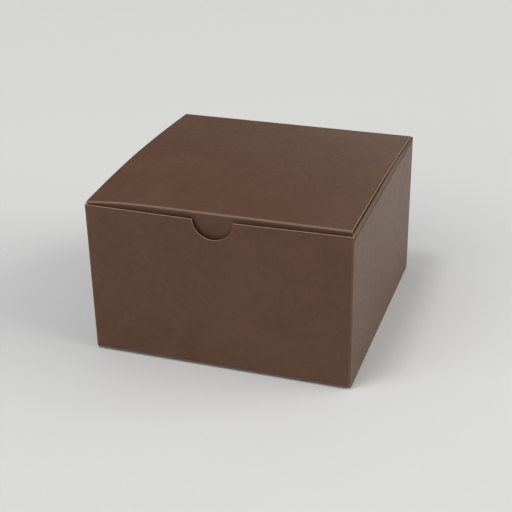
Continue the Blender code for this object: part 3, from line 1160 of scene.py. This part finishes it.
@dataclass
class Lid:
    """The lid and its tuck flap: one run of board from the back wall's crease to the tip.

    The front rises a little, most of all at its right, and its left corner droops. The
    front crease belongs to the tuck flap's piece, which starts a short way behind it.
    """

    board: Board
    press: BoardPress
    crown: float = 1.49 * MM
    left_inset: float = 0.3 * MM
    right_inset: float = 1.4 * MM
    hinge_right_inset: float = 1.2 * MM
    front_fold: float = 0.65 * MM
    # On the front crease the crease tone is mostly a painted highlight where the rounded fold
    # catches the light; on the back crease it is worn print and painted highlight.
    front_wear_and_highlight: float = 0.4
    back_wear_and_shading: float = 0.35
    crease_band: float = 6.0 * MM
    rise: float = 0.6 * MM
    rise_start: float = -23.0 * MM
    rise_at_left: float = 0.6
    droop: float = 1.9 * MM
    droop_width: float = 30.0 * MM
    droop_start: float = 8.0 * MM
    tuck_length: float = 18.0 * MM
    tuck_left_inset: float = 1.5 * MM
    tuck_right_inset: float = 1.7 * MM
    tuck_shoulder: float = 0.4 * MM
    tuck_right_drop: float = 3.2 * MM
    tuck_taper: float = 1.6 * MM
    tuck_radius: float = 9.0 * MM
    tuck_lean: float = math.radians(4.5)
    fold_steps: int = 10
    crown_steps: int = 48

    def crown_circle(self) -> tuple[Vector, float]:
        """Find the circle of the lid's outer face.

        Returns:
            Its centre, as distance back and height, and its radius.
        """
        b = self.board
        hinge = Vector((b.lid_axis.y, b.lid_axis.z))
        front = Vector((b.tuck_axis.y, b.tuck_axis.z))
        chord = (front - hinge).length
        radius = (chord ** 2 / 4 + self.crown ** 2) / (2 * self.crown)
        along = (front - hinge).normalized()
        upward = Vector((along.y, -along.x))
        centre = (hinge + front) / 2 - upward * (radius - self.crown)
        return centre, radius + b.thickness / 2

    def fold_centre(self, on_face: Vector, outward: Vector, radius: float) -> Vector:
        """Find the centre of a fold between the lid's crowned face and a flat face.

        Args:
            on_face: A point of the flat face.
            outward: The flat face's outward direction.
            radius: The fold's radius.

        Returns:
            The fold's centre.
        """
        centre, crowned = self.crown_circle()
        start = on_face - outward * radius
        along = Vector((-outward.y, outward.x))
        if along.y < 0:
            along = -along
        offset = start - centre
        half_b = offset.dot(along)
        rest = offset.length_squared - (crowned - radius) ** 2
        return start + along * (-half_b + math.sqrt(half_b ** 2 - rest))

    def path(self) -> FoldPath:
        """Draw the whole run: up the back wall, over the lid, and down the tuck flap.

        Returns:
            The path.
        """
        b, steps = self.board, self.fold_steps
        centre, crowned = self.crown_circle()
        back_face = Vector((b.lid_axis.y + b.thickness / 2, b.lid_crease_foot))
        back = self.fold_centre(back_face, Vector((1.0, 0.0)), b.fold)
        lean = Vector((-math.cos(self.tuck_lean), -math.sin(self.tuck_lean)))
        tuck_face = Vector((b.tuck_axis.y, b.tuck_axis.z)) + lean * (b.thickness / 2)
        front = self.fold_centre(tuck_face, lean, self.front_fold)
        at_back, at_front = (
            math.atan2(fold.y - centre.y, fold.x - centre.x) for fold in (back, front))
        down = math.atan2(lean.y, lean.x) + 2 * math.pi
        path = FoldPath(tuple(back_face))
        path.round(arc_points(tuple(back), b.fold, 0.0, at_back, steps), self.back_wear_and_shading)
        path.to(*arc_points(tuple(centre), crowned, at_back, at_front, self.crown_steps))
        path.round(
            arc_points(tuple(front), self.front_fold, at_front, down, steps), self.front_wear_and_highlight)
        heading = Vector((math.sin(self.tuck_lean), -math.cos(self.tuck_lean)))
        return path.to(tuple(tuck_face + heading * self.tuck_length))

    def bend(self, x: float, y: float) -> float:
        """Return how much higher a point of the lid stands than on an even crown.

        Args:
            x: Its place from left to right.
            y: Its place from front to back.

        Returns:
            The height that it gains from the rise and loses by the droop.
        """
        def grown(start: float) -> float:
            """Return the square of the share of the way from a start to the front crease."""
            return min(max((start - y) / (start - self.board.tuck_axis.y), 0.0), 1.0) ** 2

        across = (x + self.board.half_width) / (2 * self.board.half_width)
        inward = max(1.0 - (x + self.board.half_width) / self.droop_width, 0.0)
        share = self.rise_at_left + (1.0 - self.rise_at_left) * across
        return self.rise * share * grown(self.rise_start) - (
            self.droop * inward ** 2 * grown(self.droop_start))

    def underside(self, x: float, y: float) -> float:
        """Return the height of the closed lid's inner face above a point.

        Args:
            x: The point's place from left to right.
            y: Its place from front to back.

        Returns:
            The height.
        """
        centre, crowned = self.crown_circle()
        inner = crowned - self.board.thickness
        rise = math.sqrt(inner ** 2 - (y - centre.x) ** 2)
        return centre.y + rise + self.bend(x, y)

    def outlines(self, path: FoldPath) -> dict[str, list[Point]]:
        """Return the flat outlines of the lid panel and the tuck flap.

        Args:
            path: The run that they are folded along.

        Returns:
            Each outline by the CAD node's name.
        """
        half, crease, far = self.board.half_width, path.folds[1], path.length
        left, right = self.left_inset - half, half - self.right_inset
        tuck_left, tuck_right = self.tuck_left_inset - half, half - self.tuck_right_inset
        seam = crease.start - self.crease_band
        shoulder = crease.end + self.tuck_shoulder
        return {
            "lid_panel": rounded([
                (0.0, left, 0.0), (seam, left, 0.0), (seam, right, 0.0),
                (0.0, half - self.hinge_right_inset, 0.0)]),
            "tuck_flap": rounded([
                (seam, left, 0.0), (crease.end, left, 0.0), (shoulder, tuck_left, 0.0),
                (far, tuck_left + self.tuck_taper, self.tuck_radius),
                (far, tuck_right - self.tuck_taper, self.tuck_radius),
                (shoulder + self.tuck_right_drop, tuck_right, 0.0),
                (crease.end + self.tuck_right_drop, right, 0.0), (seam, right, 0.0)]),
        }

    def build(self) -> dict[str, bpy.types.Object]:
        """Fold the lid panel and the tuck flap.

        Returns:
            Each by the CAD node's name.
        """
        path = self.path()
        front = path.folds[1].start + self.board.tuck_axis.y
        made = {}
        for node, outline in self.outlines(path).items():
            blank = Blank(node.replace("panel", "board").replace("flap", "board"), outline)
            blank.score_path(path)
            blank.marks["lift"] = lambda co: self.bend(co.y, front - co.x) / self.droop
            made[node] = self.press.fold(
                blank, Side.BACK.route(path), Vector((1.0, 0.0, 0.0)), self.droop)
        return made

    def dress(self, pieces: dict[str, bpy.types.Object]) -> None:
        """Bend the two creases between the bodies that they join.

        Args:
            pieces: The lid panel and the tuck flap, by the CAD node's name.
        """
        b = self.board
        foot, top = b.lid_crease_foot, b.lid_crease_foot + b.fold
        face = b.lid_axis.y + b.thickness / 2
        creases = {
            "lid_panel": (
                "sleeve", "lid", (0.0, face - b.thickness, foot),
                (0.0, face - b.fold, top - b.thickness)),
            "tuck_flap": (
                "lid", "tuck",
                (0.0, b.tuck_axis.y + self.front_fold / 2, b.tuck_axis.z - b.thickness / 4),
                (0.0, b.tuck_axis.y + b.thickness / 4, b.tuck_axis.z - self.front_fold / 2)),
        }
        for node, (near, far, start, end) in creases.items():
            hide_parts(node)
            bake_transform(pieces[node])


@dataclass
class DustFlap:
    """A dust flap: it folds in from a side wall's crease and springs up against the lid."""

    board: Board
    press: BoardPress
    lid: Lid
    side: Side
    body: str
    node: str
    reach: float = 45.0 * MM
    front_start: float = 1.8 * MM
    shoulder: float = 3.2 * MM
    front_taper: float = 3.7 * MM
    back_start: float = 1.6 * MM
    back_shoulder: float = 2.4 * MM
    back_taper: float = 24.7 * MM
    front_radius: float = 8.0 * MM
    back_radius: float = 10.0 * MM
    lift: float = math.radians(1.2)
    # How dark the painted shade of the score's groove is on the flap, and how far along it
    # reaches.
    score: float = 0.75
    score_shade_reach: float = 0.22
    spring: float = 1.6 * MM
    spring_run: float = 1.6 * MM
    spring_fall: float = 5.0 * MM
    lid_gap: float = 0.6 * MM
    spring_steps: int = 8
    fold_steps: int = 10

    def path(self) -> FoldPath:
        """Draw the flap's path.

        Returns:
            The path, from the wall's last edge round the crease and inwards.
        """
        b, r = self.board, self.board.fold
        half = b.dust_axis.x + b.thickness / 2
        cos, sin = math.cos(self.lift), math.sin(self.lift)
        face = Vector((b.dust_axis.x, b.dust_axis.z)) + Vector((sin, cos)) * (b.thickness / 2)
        centre_out = half - r
        centre_up = face.y - r * cos - (centre_out + r * sin - face.x) * sin / cos
        path = FoldPath((half, b.dust_crease_foot))
        path.round(arc_points(
            (centre_out, centre_up), r, 0.0, math.pi / 2 - self.lift, self.fold_steps), 0.0)
        return path.to(tuple(face + Vector((-cos, sin)) * self.reach))

    def outline(self, path: FoldPath) -> list[Point]:
        """Return the flap's outline.

        Args:
            path: The path that it is folded along.

        Returns:
            The outline, whose Y runs to the front or the back, as the side has it.
        """
        b = self.board
        sign = 1.0 if self.side is Side.RIGHT else -1.0
        crease = path.folds[0].end
        front = b.half_depth - self.front_start
        turn = front - self.shoulder
        back = self.back_start - b.half_depth
        heel = back + self.back_shoulder
        corners = [
            (0.0, front, 0.0), (crease / 2, front, 0.0),
            (crease / 2 + self.shoulder, turn, 0.0),
            (path.length, turn - self.front_taper, self.front_radius),
            (path.length, heel + self.back_taper, self.back_radius),
            (crease + self.back_shoulder, heel, 0.0), (crease, back, 0.0), (0.0, back, 0.0),
        ]
        return rounded([(x, sign * y, r) for x, y, r in corners])

    def build(self) -> bpy.types.Object:
        """Fold the flap.

        Returns:
            The folded flap.
        """
        path = self.path()
        blank = Blank(self.node.replace("flap", "board"), self.outline(path))
        blank.score_path(path)
        fold = path.folds[0]
        ridge = fold.start + self.spring_run
        for step in range(1, self.spring_steps + 1):
            share = step / self.spring_steps
            blank.score((fold.start + self.spring_run * share, 0.0))
            blank.score((ridge + self.spring_fall * share, 0.0))
        end = fold.end * self.score_shade_reach
        # Painted shade of the score's groove, fading across the crease.
        blank.marks["score"] = lambda co: self.score * (1.0 - smooth(co.x / end - 1.0))
        blank.marks["lift"] = lambda co: self.sprung(fold, co)
        across = self.side.outward.cross(UP)
        return self.press.fold(blank, self.side.route(path), across, self.spring)

    def sprung(self, fold: Fold, co: Vector) -> float:
        """Return how far a point springs up: most beside the crease, as the lid lets it.

        Args:
            fold: The flap's crease.
            co: A point of the flat flap.

        Returns:
            The share of the spring.
        """
        b = self.board
        past = co.x - fold.start
        reach = max(co.x - fold.end, 0.0)
        face = b.dust_crease_foot + b.fold + reach * math.sin(self.lift)
        x = self.side.outward.x * (b.dust_axis.x - reach)
        y = -co.y if self.side is Side.RIGHT else co.y
        room = (self.lid.underside(x, y) - face - self.lid_gap) / self.spring
        fall = 1.0 - smooth((past - self.spring_run) / self.spring_fall)
        return smooth(past / self.spring_run) * fall * min(max(room, 0.0), 1.0)

    def dress(self, piece: bpy.types.Object) -> None:
        """Hide the CAD dust flap and set the folded flap's transform into its mesh.

        Args:
            piece: The folded flap.
        """
        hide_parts(self.node)
        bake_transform(piece)


@dataclass(frozen=True)
class Lamp:
    """A round soft lamp.

    Its heading is where its light travels, its strength how strongly it lights a surface in
    the middle of the scene, and its spread how wide it looks from there, in degrees.
    """

    name: str
    heading: tuple[float, float, float]
    strength: float
    spread: float
    tint: Colour = (1.0, 1.0, 1.0)
    distance: float = 5.0

    def hang(self) -> None:
        """Add the lamp to the scene, where the camera doesn't see it."""
        light = bpy.data.lights.new(self.name, "AREA")
        light.shape = "DISK"
        radius = self.distance * math.tan(math.radians(self.spread) / 2)
        light.size = 2 * radius
        light.energy = self.strength * math.pi * (self.distance ** 2 + radius ** 2)
        light.color = self.tint
        heading = Vector(self.heading).normalized()
        holder = new_object(self.name, light)
        holder.matrix_world = Matrix.LocRotScale(
            -heading * self.distance, heading.to_track_quat("-Z", "Y"), None)
        holder.visible_camera = False


@dataclass
class Studio:
    """A plain pale floor, soft lamps and the camera.

    The room's walls and its ceiling are grey levels, and each edge between them is given as
    the height of the direction in which it is seen, from 0 level to 1 straight up.
    """

    backdrop: Colour = linear(208, 208, 208)
    floor_tone: Colour = linear(208, 208, 209)
    floor_half: float = 6.0
    floor_roughness: float = 0.9
    wall_level: float = 0.15
    ceiling_level: float = 0.62
    horizon_end: float = 0.02
    wall_start: float = 0.1
    wall_end: float = 0.6
    ceiling_start: float = 0.75
    lamps: tuple[Lamp, ...] = (
        Lamp("key_lamp", (0.2, 0.25, -1.0), 0.65, 14.0),
        Lamp("front_lamp", (0.45, 0.8, -0.5), 1.45, 60.0),
        Lamp("side_lamp", (-0.88, -0.15, -0.36), 2.4, 60.0, (0.985, 1.0, 0.915)),
        Lamp("back_lamp", (-0.1, -1.0, -0.2), 0.2, 40.0, (0.985, 1.0, 0.9)),
    )
    lens: float = 78.65
    sensor: float = 36.0
    nearest: float = 10 * MM
    azimuth: float = 18.91
    elevation: float = 26.92
    roll: float = -1.03
    distance: float = 0.5692
    aim: tuple[float, float, float] = (-0.8 * MM, -4.98 * MM, 31.23 * MM)

    def floor(self) -> None:
        """Lay the floor."""
        mesh = bpy.data.meshes.new("floor")
        half = self.floor_half
        corners = [(-half, -half, 0.0), (half, -half, 0.0), (half, half, 0.0), (-half, half, 0.0)]
        mesh.from_pydata(corners, [], [(0, 1, 2, 3)])
        finish = bpy.data.materials.new("pale_floor")
        finish.use_nodes = True
        Graph(finish.node_tree).feed(finish.node_tree.nodes["Principled BSDF"], {
            "Base Color": self.floor_tone,
            "Roughness": self.floor_roughness,
            "Specular IOR Level": 0.0,
        })
        mesh.materials.append(finish)
        floor = new_object("floor", mesh)

    def room(self) -> None:
        """Light the room: dim walls and a soft box overhead, behind a pale backdrop."""
        world = bpy.data.worlds.new("room")
        world.use_nodes = True
        graph = Graph(world.node_tree)
        heading = graph.node("ShaderNodeTexCoord").outputs["Generated"]
        height = graph.node("ShaderNodeSeparateXYZ", {}, {0: heading}).outputs["Z"]
        walls, ceiling = ((level,) * 3 for level in (self.wall_level, self.ceiling_level))
        stops = [
            (0.0, self.backdrop), (self.horizon_end, self.backdrop), (self.wall_start, walls),
            (self.wall_end, walls), (self.ceiling_start, ceiling),
        ]
        ramp = graph.node("ShaderNodeValToRGB", {"stops": stops}, {0: height})
        seen = Signal(graph, graph.node("ShaderNodeLightPath").outputs["Is Camera Ray"])
        graph.feed(world.node_tree.nodes["Background"], {
            "Color": graph.mix(seen, ramp.outputs[0], self.backdrop)})
        bpy.context.scene.world = world

    def camera(self) -> None:
        """Place the camera at the photograph's angle."""
        lens = bpy.data.cameras.new("camera")
        lens.lens = self.lens
        lens.sensor_width = self.sensor
        lens.clip_start = self.nearest
        turn, tilt, roll = (math.radians(v) for v in (self.azimuth, self.elevation, self.roll))
        back = Vector((
            math.sin(turn) * math.cos(tilt), -math.cos(turn) * math.cos(tilt), math.sin(tilt)))
        level = UP.cross(back).normalized()
        upright = back.cross(level)
        right = level * math.cos(roll) + upright * math.sin(roll)
        axes = Matrix((right, back.cross(right), back)).transposed()
        holder = new_object("camera", lens)
        holder.matrix_world = Matrix.LocRotScale(
            Vector(self.aim) + back * self.distance, axes.to_quaternion(), None)
        bpy.context.scene.camera = holder

    def build(self) -> None:
        """Set up the studio."""
        self.floor()
        self.room()
        for lamp in self.lamps:
            lamp.hang()
        self.camera()
        bpy.context.scene.view_settings.view_transform = "Standard"


def main() -> None:
    """Fold every panel of the box, dress it, and set up the studio."""
    logging.basicConfig(level=logging.INFO, format="%(name)s: %(message)s")
    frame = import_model()
    board = Board.read(frame)
    press = BoardPress(board.thickness, {
        "Print": PRINT.material(), "Inside": KRAFT.material(), "Cut edge": CUT.material()})
    lid = Lid(board, press)
    parts = [
        Sleeve(board, press),
        LockBottom(board, press),
        DustFlap(board, press, lid, Side.LEFT, "dust_left", "dust_flap_left"),
        DustFlap(board, press, lid, Side.RIGHT, "dust_right", "dust_flap_right"),
        lid,
    ]
    for part in parts:
        part.dress(part.build())
        LOG.info("%s done", type(part).__name__)
    Studio().build()


if __name__ == "__main__":
    main()
